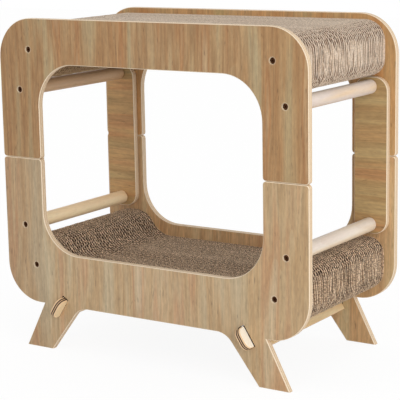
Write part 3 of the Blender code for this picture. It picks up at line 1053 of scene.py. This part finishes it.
# %% Cut the strips
RAGGED = 0.0006  # how much shorter than the block a strip may be
SHORTER, LOWER = (1.7, 3, 5), (1.3, 5, 9)  # steps of the noise per layer and pad, and its row
END_ZONE = 0.012  # how far into a pad's ends the lean can be seen
END_ROWS = 10


def sheet(stack, layer, outline, y_at):
    """A sheet's columns. Each strip is cut shorter and lower than the block by its own amount."""
    share = 1 - RAGGED / stack.high.x * (0.5 + chance(stack, layer, SHORTER))
    inset = RAGGED * (0.5 + chance(stack, layer, LOWER))
    middle_z = (stack.low.z + stack.high.z) / 2
    columns = []
    for x, heights in outline:
        rows = END_ROWS if stack.high.x - abs(x) < END_ZONE else 1
        heights = [z - math.copysign(inset, z - middle_z) for z in heights]
        columns.append(column(x * share, heights, lambda x, z: y_at(stack, layer, x, z), rows))
    return columns


print("columns have", END_ROWS, "rows in the last", END_ZONE, "m and one elsewhere")

# %% [markdown]
# ## The two pads
#
# The strips fill a block from frame to frame, so their number follows from its width, and each
# layer is made a little thicker or thinner until they fit exactly. A flat liner needs few places
# along X and a flute needs several, so the outline is read at two steps. The liners are one
# object and the flutes are two, a front and a back half, which keeps each mesh smaller. All
# three replace the solid block.

# %% Build the pads
STEPS_PER_FLUTE = 8
PAD_SHIFTS = {"upper": 1.0, "lower": 2.0}  # of the noise and the flutes, so that the pads differ


def pad(level):
    """Replaces a solid block by its liners and its wavy mediums."""
    name = f"{level}_scratch_pad"
    block, tree = blocks[level], trees[level]
    low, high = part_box(name)
    across = high.y - low.y - LINER_THICKNESS
    count = round(across / LAYER_DEPTH)
    stack = Stack(low, high, count, across / count, PAD_SHIFTS[level])
    coarse = [(x, heights_at(tree, x)) for x in stations(block, FLUTE_PITCH)]
    short_step = FLUTE_PITCH / STEPS_PER_FLUTE
    fine = [(x, heights_at(tree, x)) for x in stations(block, short_step)]
    liners = [sheet(stack, layer, coarse, liner_y) for layer in range(count + 1)]
    mediums = [sheet(stack, layer, fine, medium_y) for layer in range(count)]
    half = count // 2
    kraft_paper = papers[level]
    pieces = [
        paper(f"{level}_pad_liners", liners, LINER_THICKNESS, kraft_paper),
        paper(f"{level}_pad_front_flutes", mediums[:half], MEDIUM_THICKNESS, kraft_paper),
        paper(f"{level}_pad_back_flutes", mediums[half:], MEDIUM_THICKNESS, kraft_paper),
    ]
    for piece in pieces:
        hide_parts(name)
    return pieces


pads = {level: pad(level) for level in ("upper", "lower")}
print(sum(len(pieces) for pieces in pads.values()), "paper pieces in two pads")

# %% [markdown]
# ## Floor and background
#
# The photograph's background is plain white. A white made by strong lamps would wash the wood
# out, so the floor and the sky are told to look white only when they are seen straight on, in a
# reflection or through glass. The lamps can then stay at the level that suits the object. A
# little of the floor's own shading is kept, and with it the soft shadow under the feet.

# %% White floor and sky
FLOOR_SIZE = 12.0
FLOOR_WHITE = 1.04  # a little over white, which makes up for the share of shading that is kept
SHADOW_SHARE = 0.12
SKY_LIGHT = 0.74
WHITE_LIGHT = (1, 1, 1, 1)
SPECKLES = (4, 4, 4)  # features per metre
SPECKLE_SHARE = 0.02


def seen(start):
    """1 for what the camera sees, also in a reflection or through glass."""
    kinds = ("Camera", "Glossy", "Transmission")
    camera_ray, glossy, through = (start.node("LightPath", {}, {}, f"Is {k} Ray") for k in kinds)
    return camera_ray.larger(glossy).larger(through)


def white_floor():
    """A pale floor that looks white, with some of its own shading."""
    material, start = new_material("white_floor")
    speckle = marks(place_of(start), SPECKLES) * SPECKLE_SHARE
    tone = speckle.blend(paint(238, 238, 238), paint(255, 255, 255))
    diffuse = start.node("BsdfDiffuse", {}, {"Color": tone})
    white = start.node("Emission", {}, {"Color": WHITE_LIGHT, "Strength": FLOOR_WHITE})
    share = seen(start) * (1 - SHADOW_SHARE)
    mixed = start.node("MixShader", {}, {0: share, 1: diffuse, 2: white})
    start.node("OutputMaterial", {}, {"Surface": mixed})
    return material


bpy.ops.mesh.primitive_grid_add(x_subdivisions=4, y_subdivisions=4, size=FLOOR_SIZE)
floor = bpy.context.object
floor.name = "studio_floor"
floor.data.materials.append(white_floor())

world = bpy.data.worlds.new("studio_sky")
world.use_nodes = True
world.node_tree.nodes.clear()
bpy.context.scene.world = world
sky = Wire(world.node_tree)
strength = seen(sky) * (1 - SKY_LIGHT) + SKY_LIGHT
background = sky.node("Background", {}, {"Color": WHITE_LIGHT, "Strength": strength})
sky.node("OutputWorld", {}, {"Surface": background})
print("floor", FLOOR_SIZE, "m wide, sky light", SKY_LIGHT)

# %% [markdown]
# ## Studio lamps
#
# The photograph has soft light without hard shadows. The faces that look right and up are the
# brightest, and the inside of the house is darker. That is one large softbox high on the right,
# a weaker one in front, a small low one that lifts the right feet and the stretcher, and the
# sky's even light. A softbox is an area lamp, and its size sets how soft the shadows are.

# %% Softboxes
Softbox = namedtuple("Softbox", "place size power aim")
SOFTBOXES = {
    "right_softbox": Softbox((2.1, -1.4, 1.0), 1.5, 20, (0, 0, 0.25)),
    "front_softbox": Softbox((0.8, -2.6, 0.5), 1.6, 4, (0, 0, 0.25)),
    "low_softbox": Softbox((1.8, -0.8, 0.2), 0.5, 2, (0.2, 0, 0.08)),
}
for name, softbox in SOFTBOXES.items():
    lamp = bpy.data.lights.new(name, "AREA")
    lamp.shape = "SQUARE"
    lamp.size = softbox.size
    lamp.energy = softbox.power
    holder = bpy.data.objects.new(name, lamp)
    bpy.context.scene.collection.objects.link(holder)
    holder.location = softbox.place
    sight = Vector(softbox.aim) - Vector(softbox.place)
    holder.rotation_euler = sight.to_track_quat("-Z", "Y").to_euler()
    print(name, "gives", softbox.power, "W")

view = bpy.context.scene.view_settings
view.view_transform = "Standard"
print("view transform", view.view_transform)

# %% [markdown]
# ## Finish
#
# The paper lies inside the solid blocks, so the model's box stays as it was. The paper lies
# inside the solid blocks, so nothing may have grown.
